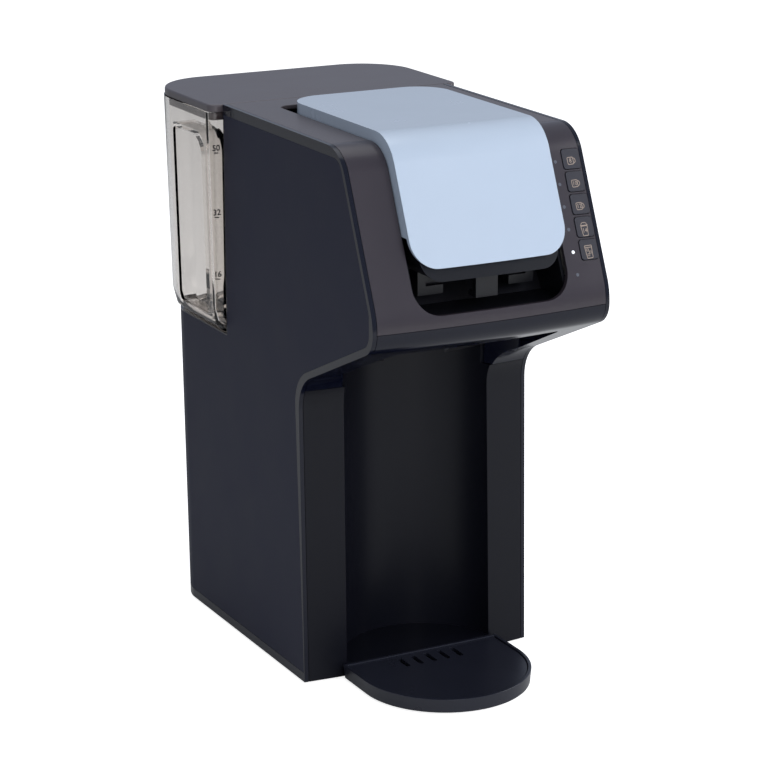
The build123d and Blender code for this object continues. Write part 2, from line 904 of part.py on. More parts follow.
def valve_cage():
    """Three-legged cage that holds the poppet down."""
    floor = platform_floor_z + rest_gap + tank_wall
    top = floor + cage_height
    cage = drum(poppet_radius + cage_brim, valve_x, valve_y, top, top + cage_plate)
    reach = poppet_radius + cage_leg_gap
    for step in range(cage_legs):
        angle = 2 * math.pi * step / cage_legs + math.pi / 2
        x = valve_x + reach * math.cos(angle)
        y = valve_y + reach * math.sin(angle)
        cage = cage + drum(cage_leg, x, y, floor, top)
    return cage


def tank_lid():
    """Flat lid of the tank, with a skirt inside the mouth."""
    foot_z = tank_top_z + rest_gap
    low = tank_section(0, -2 * tank_lid_inset, 0, -tank_lid_inset, foot_z)
    plate = extrude(low, amount=top_z - foot_z)
    plate = fillet(plate.edges().group_by(Axis.Z)[-1], tank_lid_edge)
    grow = -tank_wall - tank_lid_gap
    skirt_z = tank_top_z - tank_lid_skirt
    rise = foot_z - skirt_z
    outer = extrude(tank_section(0, 0, 0, grow, skirt_z), amount=rise + 1)
    inner = extrude(tank_section(0, 0, 0, grow - tank_lid_skirt_wall, skirt_z - 1), amount=rise + 1)
    return plate + (outer - inner)


def rear_cover():
    """Lower rear wall with vents and a hole for the cord gland."""
    region = middle_block(corner_seam_x - seam, corner_seam_y, far, foot_height + wall + seam, rear_rim_z)
    cover = body_shell & region
    top_cut = block(-far, far, corner_seam_y, far, rear_rim_z - seam, far)
    cover = cover - top_cut
    first = -(vent_count - 1) / 2 * vent_pitch
    for index in range(vent_count):
        x = first + index * vent_pitch
        slot = block(x - vent_width / 2, x + vent_width / 2, corner_seam_y, far, vent_z, vent_z + vent_height)
        cover = cover - slot
    return cover - gland_rod(gland_radius, far)


def gland_rod(radius, length):
    """A round rod along Y at the cord gland."""
    return Pos(gland_x, rear_foot_y, gland_z) * Rot(90, 0, 0) * Cylinder(radius, length)


def cord_gland():
    """Grommet in the rear cover where the mains lead would pass."""
    ring = Pos(0, gland_proud, 0) * gland_rod(gland_radius - gland_play, gland_length)
    flange_rod = gland_rod(gland_radius + gland_flange, gland_flange_thickness)
    flange = Pos(0, -wall - gland_flange_thickness, 0) * flange_rod
    return (ring + flange) - gland_rod(gland_bore, far)


def drip_tray():
    """Shallow tray with a round front that catches drips."""
    top = tray_outline(0, tray_height)
    foot = tray_outline(-tray_draft, foot_height)
    outer = loft([foot, top], ruled=True)
    hollow = extrude(tray_outline(-tray_wall, foot_height + tray_floor), amount=tray_height)
    tray = outer - hollow
    plate_foot = tray_height - tray_plate_drop - tray_plate_thickness
    ledge_height = plate_foot - rest_gap - foot_height - tray_floor
    ledge = extrude(tray_outline(-tray_wall, foot_height + tray_floor), amount=ledge_height)
    core = extrude(tray_outline(-2 * tray_wall, foot_height + tray_floor), amount=ledge_height)
    tray = tray + (ledge - core)
    for x in (-tray_foot_spread, tray_foot_spread):
        for y in (tray_centre_y - tray_foot_spread, tray_rear_y - tray_foot_setback):
            tray = tray + drum(tray_foot_radius, x, y, 0, foot_height + 1)
    return tray


def tray_outline(grow, z):
    """Plan of the tray: straight at the rear, a half circle at the front."""
    radius = tray_radius + grow
    rear = tray_rear_y + grow
    half = middle_plan(radius, tray_centre_y, rear, z)
    front = (Pos(0, tray_centre_y, z) * Circle(radius)) & middle_plan(far, -far, tray_centre_y, z)
    return half + front


def middle_plan(half_width, y0, y1, z):
    """A plain rectangle seen from above."""
    return Pos(0, (y0 + y1) / 2, z) * Rectangle(2 * half_width, y1 - y0)


def tray_plate():
    """Cup rest that lies in the tray, with drain slots."""
    foot = tray_height - tray_plate_drop - tray_plate_thickness
    plate = extrude(tray_outline(-tray_wall - tray_plate_gap, foot), amount=tray_plate_thickness)
    first = -(tray_slot_count - 1) / 2 * tray_slot_pitch
    shape = SlotOverall(tray_slot_length, tray_slot_width, rotation=90)
    for index in range(tray_slot_count):
        slot = Pos(first + index * tray_slot_pitch, tray_rear_y - tray_slot_setback, foot) * shape
        plate = plate - extrude(slot, amount=tray_plate_thickness)
    return plate


def lid_face(inset):
    """Side outline of the brew lid, drawn in by the inset."""
    shift = lid_proud_front / math.cos(math.radians(fascia_angle))
    top = top_z + lid_proud_top
    foot_z = lid_foot_z - far / 4
    foot_y = lip_y - crown - shift + (foot_z - fascia_foot_z) * fascia_slope
    corner_y = lip_y - crown - shift + (top - fascia_foot_z) * fascia_slope
    points = [(foot_y, foot_z), (corner_y, top), (lid_rear_y, top), (lid_rear_y, foot_z)]
    face = side_face(points, [0, lid_corner_radius, 0, 0])
    if inset > 0:
        face = offset(face, amount=-inset)
    return face


def lid_plan(half, rear, radius):
    """Plan of the lid, with its round rear corners."""
    points = [(-half, -far), (half, -far), (half, rear), (-half, rear)]
    return upright(points, [0, 0, radius, radius], -far, far)


def lid_front_view(half, foot, radius):
    """Front view of the lid, with its round lower corners."""
    points = [(-half, foot), (half, foot), (half, far + top_z), (-half, far + top_z)]
    outline = FilletPolyline(*points, radius=[radius, radius, 0, 0], close=True)
    return extrude(Plane.XZ * make_face(outline), amount=far, both=True)


def lid_block(inset):
    """The lid as a full block, drawn in by the inset."""
    half = lid_half_width - inset
    solid = crowned(lid_face(inset), half)
    solid = solid & lid_plan(half, lid_rear_y - inset, lid_rear_radius - inset)
    if inset > 0:
        return solid
    return solid & lid_front_view(half, lid_foot_z, lid_foot_radius)


def brew_lid():
    """Coloured outer skin of the brew lid, with its side walls."""
    skin = lid_block(0) - lid_block(lid_skin)
    skin = skin - front_block(lid_sink, far)
    below = middle_block(far, -far, far, -far, lid_side_foot_z) & front_block(-0.01, far)
    skin = skin - below
    walls = block(-far, far, -far, far, -far, lid_side_foot_z) & crowned(lid_face(lid_skin), far)
    return skin - walls


def lid_liner():
    """Black inner part of the lid that carries the upper needle."""
    inset = lid_skin + liner_gap
    solid = crowned(lid_face(inset), liner_half_width)
    solid = solid & block(-far, far, -far, liner_rear_y, liner_foot_z, far)
    lip_foot_z = liner_foot_z - liner_lip_drop
    solid = solid & lid_front_view(liner_half_width, lip_foot_z, lid_foot_radius - inset)
    hollow = crowned(lid_face(inset + liner_wall), liner_half_width - liner_wall)
    hollow = hollow & block(-far, far, -far, liner_rear_y - liner_wall, liner_foot_z + liner_wall, far)
    liner = (solid - hollow) + liner_lip() + liner_guides() + liner_arms()
    plug_foot = liner_foot_z - seal_thickness
    liner = liner + drum(seal_inner_radius - seam, 0, pod_y, plug_foot, liner_foot_z)
    liner = liner - drum(needle_radius, 0, pod_y - upper_needle_offset, -far, far)
    near = latch_pivot_y - latch_clearance
    rear = latch_pivot_y + latch_clearance
    top = latch_pivot_z + 3 * latch_thickness
    notch = middle_block(latch_width / 2 + seam, near, rear, -far, top)
    return (liner - notch) + latch_bosses()


def liner_lip():
    """Low band round the front of the liner, below the edge of the lid."""
    inset = lid_skin + liner_gap
    foot = liner_foot_z - liner_lip_drop
    core = crowned(lid_face(inset + liner_wall), liner_half_width)
    band = crowned(lid_face(inset), liner_half_width) - core
    band = band & block(-far, far, -far, deck_front_y, foot, liner_foot_z + 1)
    return band & lid_front_view(liner_half_width, foot, lid_foot_radius - inset)


def latch_bosses():
    """Two blocks on the floor of the liner that hold the pin of the catch."""
    near = latch_width / 2 + seam
    bosses = None
    for side in (-1, 1):
        x0 = min(side * near, side * (near + latch_boss))
        x1 = max(side * near, side * (near + latch_boss))
        y0 = latch_pivot_y - latch_boss
        y1 = latch_pivot_y + latch_boss
        boss = block(x0, x1, y0, y1, liner_foot_z + 1, latch_pivot_z + latch_boss - 1)
        boss = boss - cross_bar(latch_pin_radius, latch_pivot_y, latch_pivot_z, x0 - 1, x1 + 1)
        bosses = boss if bosses is None else bosses + boss
    return bosses


def liner_guides():
    """Two stepped guides that hang from the floor of the liner."""
    foot = liner_foot_z - guide_drop
    rear = guide_front_y + guide_depth
    toe = block(guide_inner_x, guide_outer_x, guide_front_y, rear, foot, foot + guide_step)
    shank = block(guide_inner_x, guide_outer_x, guide_front_y + guide_depth / 2, rear, foot, liner_foot_z + 1)
    edge = block(guide_outer_x - guide_step, guide_outer_x, guide_front_y, rear, foot, liner_foot_z + 1)
    guide = toe + shank + edge
    return guide + mirrored(guide)


def liner_arms():
    """Arms from the liner back to the hinge pins."""
    arms = None
    for side in (-1, 1):
        x0 = side * hinge_arm_x - hinge_arm_width / 2
        x1 = side * hinge_arm_x + hinge_arm_width / 2
        bar = block(x0, x1, liner_rear_y - 1, hinge_y, hinge_z - hinge_arm_radius, hinge_z + hinge_arm_radius)
        eye = cross_bar(hinge_arm_radius, hinge_y, hinge_z, x0, x1)
        arm = (bar + eye) - cross_bar(hinge_pin_radius + hinge_running_gap, hinge_y, hinge_z, x0 - 1, x1 + 1)
        arms = arm if arms is None else arms + arm
    return arms


def hinge_pins():
    """Two pins that the lid turns on."""
    pins = []
    for side in (-1, 1):
        inner = side * (hinge_arm_x - hinge_arm_width / 2 - ear_gap - ear_width)
        outer = side * (hinge_arm_x + hinge_arm_width / 2 + ear_gap + ear_width)
        pins.append(cross_bar(hinge_pin_radius, hinge_y, hinge_z, min(inner, outer), max(inner, outer)))
    return pins


def chassis_ears():
    """Ears of the chassis that hold the hinge pins, on both sides of each arm."""
    ears = None
    foot = hinge_z - 3 * hinge_arm_radius
    for side in (-1, 1):
        for edge in (-1, 1):
            near = hinge_arm_width / 2 + ear_gap
            low = side * hinge_arm_x + edge * near
            high = low + edge * ear_width
            x0 = min(low, high)
            x1 = max(low, high)
            tab = block(x0, x1, hinge_y - ear_radius, hinge_y + ear_radius, foot - 1, hinge_z)
            eye = cross_bar(ear_radius, hinge_y, hinge_z, x0, x1)
            ear = (tab + eye) - cross_bar(hinge_pin_radius, hinge_y, hinge_z, x0 - 1, x1 + 1)
            ears = ear if ears is None else ears + ear
    return ears


def lid_latch():
    """Sprung catch at the front of the lid, with its hook."""
    half = latch_width / 2
    y0 = latch_pivot_y - latch_thickness / 2
    foot = latch_pivot_z - latch_drop
    plate = middle_block(half, y0, y0 + latch_thickness, foot, latch_pivot_z)
    hook = middle_block(half, y0, y0 + latch_hook_reach, foot - latch_hook, foot)
    latch = plate + hook
    latch = latch + cross_bar(latch_boss - 1, latch_pivot_y, latch_pivot_z, -half, half)
    return latch - cross_bar(latch_pin_radius + hinge_running_gap, latch_pivot_y, latch_pivot_z, -far, far)


def latch_pin():
    """Pin that the catch turns on."""
    reach = latch_width / 2 + seam + latch_boss
    return cross_bar(latch_pin_radius, latch_pivot_y, latch_pivot_z, -reach, reach)


def upper_needle():
    """Hollow needle that pierces the lid of the pod."""
    y = pod_y - upper_needle_offset
    top = liner_foot_z + 3 * liner_wall
    foot = liner_foot_z - upper_needle_length
    shaft = drum(needle_radius, 0, y, foot + needle_tip, top)
    tip = cone(needle_point, needle_radius, 0, y, foot, foot + needle_tip)
    return (shaft + tip) - drum(needle_bore, 0, y, foot + needle_tip, top + 1)


def shower_seal():
    """Soft ring that presses on the rim of the pod."""
    ring = drum(seal_outer_radius, 0, pod_y, liner_foot_z - seal_thickness, liner_foot_z)
    return ring - drum(seal_inner_radius, 0, pod_y, -far, far)


def chassis_floor():
    """Deck under the lid: flat round the pod holder, stepping down to the front."""
    rear = liner_rear_y + chassis_wall / 2
    low = deck_step_z - deck_thickness
    points = [(rear, deck_z), (deck_front_y, deck_z), (deck_step_y, deck_step_z), (-far, deck_step_z)]
    points = points + [(-far, low), (deck_step_y + deck_thickness / 2, low)]
    points = points + [(deck_front_y + deck_thickness / 2, deck_z - deck_thickness)]
    points = points + [(rear, deck_z - deck_thickness)]
    face = Plane.YZ * make_face(Polyline(*points, close=True))
    return across(face, opening_half_width - seam - chassis_wall / 2)


def chassis_walls():
    """The two side walls and the rear wall of the tub under the lid."""
    half = opening_half_width - seam
    rear = liner_rear_y + seam + chassis_wall
    tub = middle_block(half, -far, rear, deck_step_z - deck_thickness, far)
    core = middle_block(half - chassis_wall, -far - 1, liner_rear_y + seam, -far, far + 1)
    return tub - core


def hinge_shelf():
    """Shelf behind the tub that carries the ears of the hinge."""
    half = opening_half_width - 2 * chassis_wall
    top = hinge_z - 3 * hinge_arm_radius
    rear = hinge_y + hinge_shelf_reach
    return middle_block(half, liner_rear_y + chassis_wall, rear, top - deck_thickness, top)


def pod_well(radius, z0, z1):
    """Upright round for the well that holds the pod holder."""
    return drum(radius, 0, pod_y, z0, z1)


def brew_chassis():
    """Inner frame of the head: deck, walls, pod well and hinge ears."""
    well_radius = holder_top_radius + well_gap
    chassis = chassis_walls() + chassis_floor() + hinge_shelf()
    chassis = chassis + pod_well(well_radius + well_wall, deck_z - holder_depth, deck_z - deck_thickness / 2)
    chassis = chassis - pod_well(well_radius, 0, deck_z + 1)
    reach = hinge_arm_x + hinge_arm_width
    y0 = liner_rear_y - arm_slot_front
    y1 = liner_rear_y + arm_slot_rear
    slots = middle_block(reach, y0, y1, hinge_z - 2 * hinge_arm_radius, far)
    chassis = (chassis - slots) + chassis_ears()
    return chassis & front_block(wall + 4 * seam, far)


def pod_holder():
    """Lift-out holder with its flange, funnel and spout."""
    top = deck_z + rest_gap
    foot = deck_z - holder_depth
    flange = drum(holder_flange_radius, 0, pod_y, top, top + holder_flange_thickness)
    bowl = cone(holder_foot_radius, holder_top_radius, 0, pod_y, foot, top + 1)
    funnel = cone(funnel_neck_radius, holder_foot_radius, 0, pod_y, foot - funnel_depth, foot)
    spout = drum(nozzle_radius, 0, nozzle_y, nozzle_foot_z, foot - 1)
    edge_y = pod_y - holder_flange_radius
    tab_top = top + holder_flange_thickness
    reach = holder_tab_reach
    tab = middle_block(holder_tab_width / 2, edge_y - reach, edge_y + reach, top, tab_top)
    holder = flange + bowl + funnel + spout + (tab - drum(holder_flange_radius - 1, 0, pod_y, 0, far))
    foot_bore = holder_foot_radius - holder_wall
    top_bore = holder_top_radius - holder_wall
    inner = cone(foot_bore, top_bore, 0, pod_y, foot, top + 1)
    throat = drum(top_bore, 0, pod_y, top + 1, far)
    sump_foot = foot - funnel_depth + holder_wall
    sump = cone(funnel_neck_radius - holder_wall, foot_bore, 0, pod_y, sump_foot, foot)
    holder = holder - inner - throat - sump
    return holder - drum(nozzle_bore, 0, nozzle_y, nozzle_foot_z - 1, foot)


def pod_cup():
    """Inner cup that the pod sits in."""
    top = deck_z + rest_gap + holder_flange_thickness
    foot = deck_z - cup_depth
    bowl = cone(cup_foot_radius, cup_top_radius, 0, pod_y, foot, top)
    cut = cone(cup_foot_radius - cup_wall, cup_top_radius - cup_wall, 0, pod_y, foot + cup_wall, top)
    cup = bowl - cut
    return cup - drum(needle_radius + 1, 0, pod_y + lower_needle_offset, -far, foot + 2 * cup_wall)


def lower_needle():
    """Needle that pierces the foot of the pod."""
    y = pod_y + lower_needle_offset
    foot = deck_z - holder_depth - needle_base_sink
    top = foot + lower_needle_height
    base = drum(needle_base_radius, 0, y, foot, foot + needle_base_height)
    shaft = drum(needle_radius, 0, y, foot, top)
    tip = cone(needle_radius, needle_point, 0, y, top, top + needle_tip)
    return (base + shaft + tip) - drum(needle_bore, 0, y, foot - 1, top)


def spout_shroud():
    """Dark plate inside the underside opening, round the spout."""
    skin = body_block(shroud_rise) - body_block(shroud_rise + upstand_wall)
    skin = skin & underside_opening(-seam)
    skin = skin & block(-far, far, -far, column_top_y, 0, fascia_seam_z - wall - shroud_gap)
    return skin - pod_well(holder_top_radius + well_gap + well_wall + seam, 0, far)


def button_cap(index):
    """One push button of the fascia."""
    z = button_z(index)
    prism = fascia_prism(button_x, z, button_width, button_height, button_radius, 4 * wall, 2 * wall)
    cap = prism & (front_block_grown(button_proud) - front_block(button_depth, far))
    stem_depth = button_depth + button_stem_length
    stem = fascia_prism(button_x, z, button_stem, button_stem, stem_edge, stem_depth, -button_depth / 2)
    return cap + stem


def front_block_grown(grow):
    """The head drawn out past its own surface."""
    face = offset(side_face(profile_points(), profile_radii()), amount=grow)
    return crowned(face, far)


def fascia_sheet(depth, thickness):
    """A flat sheet behind the fascia that spans all the buttons."""
    z_top = button_top_z + pad_margin
    z_foot = button_z(button_count - 1) - pad_margin
    tall = (z_top - z_foot) / math.cos(math.radians(fascia_angle))
    origin = fascia_point(button_x, (z_top + z_foot) / 2, depth + thickness)
    plane = Plane(origin=origin - Vector(board_shift, 0, 0), x_dir=(1, 0, 0), z_dir=fascia_normal())
    return extrude(plane * Rectangle(board_width, tall), amount=thickness)


def button_pad():
    """Soft sheet with a dome under each button."""
    pad = fascia_sheet(pad_depth, pad_thickness)
    for index in range(button_count):
        depth = button_depth + button_stem_length + button_travel + dome_gap
        pad = pad + fascia_rod(button_x, button_z(index), dome_radius, pad_depth + pad_thickness / 2, -depth)
    return pad


def control_board():
    """Circuit board behind the buttons."""
    return fascia_sheet(pad_depth + pad_thickness, board_thickness)


def light_lenses():
    """Small round lenses beside the buttons."""
    lenses = []
    for index in range(light_count):
        rod = fascia_rod(light_x, light_z(index), light_radius, 3 * wall, wall)
        lens = rod & (front_block_grown(light_proud) - front_block(wall + 1, far))
        lenses.append(lens)
    return lenses


pieces = {
    "housing_right": housing_right(),
    "top_cover": top_cover(),
    "front_fascia": front_fascia(),
    "head_underside": head_underside(),
    "cup_bay": cup_bay(),
    "head_rear_wall": head_rear_wall(),
    "tank_platform": tank_platform(),
    "rear_cover": rear_cover(),
    "cord_gland": cord_gland(),
    "base_plate": base_plate(),
    "base_screws": base_screws(),
    "rubber_feet": rubber_feet(),
    "brew_chassis": brew_chassis(),
    "spout_shroud": spout_shroud(),
    "hinge_pins": hinge_pins(),
    "brew_lid": brew_lid(),
    "lid_liner": lid_liner(),
    "lid_latch": lid_latch(),
    "latch_pin": latch_pin(),
    "upper_needle": upper_needle(),
    "shower_seal": shower_seal(),
    "pod_holder": pod_holder(),
    "pod_cup": pod_cup(),
    "lower_needle": lower_needle(),
    "side_panel_right": side_panel_right(),
    "button_pad": button_pad(),
    "control_board": control_board(),
    "light_lenses": light_lenses(),
    "water_heater": water_heater(),
    "water_pump": water_pump(),
    "air_pump": air_pump(),
    "feed_tube": feed_tube(),
    "heater_tube": heater_tube(),
    "brew_tube": brew_tube(),
    "drip_tray": drip_tray(),
    "tray_plate": tray_plate(),
    "water_tank": water_tank(),
    "tank_valve": tank_valve(),
    "valve_cage": valve_cage(),
    "tank_lid": tank_lid(),
}
pieces["housing_left"] = mirrored(pieces["housing_right"])
pieces["side_panel_left"] = mirrored(pieces["side_panel_right"])
button_names = ["button_size_1", "button_size_2", "button_size_3", "button_size_4", "button_strong"]
for number, name in enumerate(button_names):
    pieces[name] = button_cap(number)

os.makedirs("parts", exist_ok=True)
for name, piece in pieces.items():
    solids = piece if isinstance(piece, list) else [piece]
    moved = [Pos(0, -y_middle, 0) * solid for solid in solids]
    body = Compound(children=moved) if len(moved) > 1 else moved[0]
    export_step(body, "parts/" + name + ".step")
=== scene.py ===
import bpy
import bmesh
import json
import math
from mathutils import Matrix, Vector
from mathutils.bvhtree import BVHTree


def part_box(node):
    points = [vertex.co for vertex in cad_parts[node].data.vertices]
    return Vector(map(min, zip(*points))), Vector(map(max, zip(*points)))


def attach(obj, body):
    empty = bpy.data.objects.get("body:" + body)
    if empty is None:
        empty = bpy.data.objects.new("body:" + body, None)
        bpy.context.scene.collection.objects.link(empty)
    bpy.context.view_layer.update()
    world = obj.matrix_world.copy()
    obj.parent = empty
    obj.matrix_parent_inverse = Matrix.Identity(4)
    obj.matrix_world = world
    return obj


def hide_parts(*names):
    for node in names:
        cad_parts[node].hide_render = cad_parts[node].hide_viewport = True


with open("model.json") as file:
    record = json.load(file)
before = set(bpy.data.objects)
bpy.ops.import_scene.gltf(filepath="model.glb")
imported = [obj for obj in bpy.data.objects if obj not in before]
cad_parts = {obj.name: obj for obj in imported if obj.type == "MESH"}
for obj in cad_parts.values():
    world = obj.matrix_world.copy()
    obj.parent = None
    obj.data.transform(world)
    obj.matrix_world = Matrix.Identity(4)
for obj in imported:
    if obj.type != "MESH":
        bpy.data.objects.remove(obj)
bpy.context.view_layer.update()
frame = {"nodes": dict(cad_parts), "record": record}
nodes = frame["nodes"]
record = frame["record"]
node_body = {node: body for body, names in record["behaviour"]["bodies"].items() for node in names}
node_slot = {row["node"]: row["material_slot"] for row in record["subparts"]}
scene = bpy.context.scene

MM = 0.001

# Printed lines and numbers: start of a search ray, height over and depth in the surface, in millimetres
SEARCH_HEIGHT = 300
SEARCH_NEAR = 5
PRINT_LIFT = 0.06
PRINT_SINK = 0.05

# Camera of the photograph, in metres and degrees
CAMERA_PLACE = Vector((-0.71109, -1.34544, 0.61055))
CAMERA_TURN = -28.066
CAMERA_TILT = 16.467
FOCAL_PIXELS = 2628.85
IMAGE_PIXELS = 768
SENSOR_WIDTH = 36.0
VIEW_DEPTH = 20

# World colour and strength for fill, reflections, clear plastic and the camera
WORLD_LAYERS = [
    ((0.93, 0.96, 1.0, 1), 0.34),
    ((0.74, 0.82, 1.0, 1), 0.5),
    ((1.0, 0.97, 0.96, 1), 0.5),
    ((1.0, 1.0, 1.0, 1), 1.0),
]

# Floor: half its side and its drop in metres, its colour, its glow, and how much of it clear plastic shows
FLOOR_REACH = 6.0
FLOOR_DROP = 0.0002
FLOOR_COLOUR = (0.8, 0.81, 0.83, 1)
FLOOR_GLOW = 0.85
FLOOR_THROUGH = 0.2

# Lamps: name, place, size, watts and whether reflections show them; all point at LAMP_TARGET
LAMP_TARGET = (0, 0, 0.2)
LAMPS = [
    ("key", (0.3, -1.9, 1.1), (1.6, 1.0), 23, False),
    ("front_strip", (-0.35, -1.5, 0.5), (0.12, 1.3), 2, True),
    ("right", (1.7, -0.7, 0.9), (0.8, 1.4), 10, True),
    ("top", (0, 0.5, 1.9), (1.5, 1.5), 9, True),
]

# Plastics: unevenness in tone and gloss, depth of the grain in metres, and clear coat
CLOUD_SCALE = 35.0
CLOUD_DETAIL = 4.0
GRAIN_DETAIL = 2.0
GRAIN_DEPTH = 0.0002
GLOSS_LOW = 0.9
GLOSS_HIGH = 1.12
COAT_ROUGHNESS = 0.06
CLEAR_IOR = 1.3
GLOW_COLOUR = (0.92, 0.95, 1.0, 1)

# Rounded edges and the joining of a solid's triangles
EDGE_ANGLE = math.radians(30)
EDGE_SEGMENTS = 3
FLAT_ANGLE = math.radians(0.05)
SAME_POINT = 1e-6
NORMAL_WEIGHT = 80

# Width of each piece's rounded edges in millimetres
BUTTONS = ["button_size_1", "button_size_2", "button_size_3", "button_size_4", "button_strong"]
ROUNDING = {
    "housing_left": 0.8,
    "housing_right": 0.8,
    "side_panel_left": 0.3,
    "side_panel_right": 0.3,
    "top_cover": 0.4,
    "front_fascia": 0.3,
    "head_underside": 0.4,
    "cup_bay": 0.5,
    "tank_platform": 0.4,
    "rear_cover": 0.5,
    "brew_lid": 1.1,
    "lid_liner": 0.6,
    "lid_latch": 0.4,
    "drip_tray": 0.6,
    "tray_plate": 0.4,
    "tank_lid": 0.5,
    "water_tank": 0.6,
    "rubber_feet": 0.6,
}
ROUNDING.update({name: 0.4 for name in BUTTONS})

# Buttons, lights and the scale of the tank, as on the part; the bow is the radius of the front
FASCIA_ANGLE = math.radians(23.4)
FASCIA_BOW = 0.78
BUTTON_X = 66.3 * MM
BUTTON_TOP_Z = 312.6 * MM
BUTTON_PITCH = 12.0 * MM
LIT_LIGHT = 4
SCALE_X = 79.6 * MM
SCALE_MARKS = {"50": 304 * MM, "32": 265 * MM, "16": 227 * MM}

# Print: line widths, heights of the numbers and how bold they are, and shifts on the face, in millimetres
SIGN_LINE = 0.42
SIGN_SIZE = 3.4
SIGN_BOLD = 0.03
MUG_SHIFT = (-0.5, 0.0)
TRAVEL_MUG_SHIFT = (0.0, -1.1)
SCALE_SIZE = 5.0
SCALE_BOLD = 0.1
TICK_LINE = 0.7
TICK_HALF = 1.2
TICK_DROP = 2.9


def linear(text):
    """An sRGB hex colour as linear red, green, blue and alpha."""
    values = [int(text[i:i + 2], 16) / 255 for i in (0, 2, 4)]
    return [v / 12.92 if v <= 0.04045 else ((v + 0.055) / 1.055) ** 2.4 for v in values] + [1.0]


def place_piece(name, mesh, material, body):
    """A new object with its material that rides on a body."""
    piece = bpy.data.objects.new(name, mesh)
    scene.collection.objects.link(piece)
    piece.data.materials.clear()
    piece.data.materials.append(material)
    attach(piece, body)
    return piece


# Camera, lamps and surroundings

def make_camera():
    """The camera of the photograph."""
    data = bpy.data.cameras.new("camera")
    data.sensor_width = SENSOR_WIDTH
    data.lens = SENSOR_WIDTH * FOCAL_PIXELS / IMAGE_PIXELS
    data.clip_end = VIEW_DEPTH
    camera = bpy.data.objects.new("camera", data)
    scene.collection.objects.link(camera)
    turn = math.radians(CAMERA_TURN)
    tilt = math.radians(CAMERA_TILT)
    back = Vector((math.sin(turn) * math.cos(tilt), -math.cos(turn) * math.cos(tilt), math.sin(tilt)))
    camera.location = CAMERA_PLACE
    camera.rotation_euler = back.to_track_quat("Z", "Y").to_euler()
    scene.camera = camera


def make_lamp(name, place, size, watts, shine):
    """A soft rectangular lamp that points at the machine."""
    data = bpy.data.lights.new(name, "AREA")
    data.shape = "RECTANGLE"
    data.size = size[0]
    data.size_y = size[1]
    data.energy = watts
    lamp = bpy.data.objects.new(name, data)
    scene.collection.objects.link(lamp)
    lamp.visible_glossy = shine
    lamp.location = place
    lamp.rotation_euler = (Vector(place) - Vector(LAMP_TARGET)).to_track_quat("Z", "Y").to_euler()


def seen_rays(tree, kind):
    """1 for a ray of the kind, else 0."""
    return tree.nodes.new("ShaderNodeLightPath").outputs[kind]


def make_world():
    """White to the camera, greyer through clear plastic, pale in reflections, and a soft fill elsewhere."""
    world = bpy.data.worlds.new("studio")
    scene.world = world
    world.use_nodes = True
    tree = world.node_tree
    tree.nodes.clear()
    out = tree.nodes.new("ShaderNodeOutputWorld")
    layers = []
    for colour, strength in WORLD_LAYERS:
        layer = tree.nodes.new("ShaderNodeBackground")
        layer.inputs["Color"].default_value = colour
        layer.inputs["Strength"].default_value = strength
        layers.append(layer)
    last = layers[0].outputs[0]
    for kind, layer in zip(("Is Glossy Ray", "Is Transmission Ray", "Is Camera Ray"), layers[1:]):
        mix = tree.nodes.new("ShaderNodeMixShader")
        tree.links.new(seen_rays(tree, kind), mix.inputs["Fac"])
        tree.links.new(last, mix.inputs[1])
        tree.links.new(layer.outputs[0], mix.inputs[2])
        last = mix.outputs[0]
    tree.links.new(last, out.inputs["Surface"])


def make_floor():
    """Plain white floor that keeps a faint shadow."""
    reach = FLOOR_REACH
    corners = [(-reach, -reach, 0), (reach, -reach, 0), (reach, reach, 0), (-reach, reach, 0)]
    mesh = bpy.data.meshes.new("floor")
    mesh.from_pydata(corners, [], [(0, 1, 2, 3)])
    floor = bpy.data.objects.new("floor", mesh)
    scene.collection.objects.link(floor)
    floor.location.z = -FLOOR_DROP
    material = bpy.data.materials.new("floor_white")
    material.use_nodes = True
    tree = material.node_tree
    tree.nodes.clear()
    out = tree.nodes.new("ShaderNodeOutputMaterial")
    paper = tree.nodes.new("ShaderNodeBsdfDiffuse")
    paper.inputs["Color"].default_value = FLOOR_COLOUR
    glow = tree.nodes.new("ShaderNodeEmission")
    through = tree.nodes.new("ShaderNodeMath")
    through.operation = "MULTIPLY_ADD"
    through.inputs[1].default_value = FLOOR_THROUGH
    tree.links.new(seen_rays(tree, "Is Transmission Ray"), through.inputs[0])
    tree.links.new(seen_rays(tree, "Is Camera Ray"), through.inputs[2])
    tree.links.new(through.outputs[0], glow.inputs["Strength"])
    glow.inputs["Color"].default_value = (FLOOR_GLOW, FLOOR_GLOW, FLOOR_GLOW, 1)
    add = tree.nodes.new("ShaderNodeAddShader")
    tree.links.new(paper.outputs[0], add.inputs[0])
    tree.links.new(glow.outputs[0], add.inputs[1])
    tree.links.new(add.outputs[0], out.inputs["Surface"])
    floor.data.materials.append(material)


# Materials

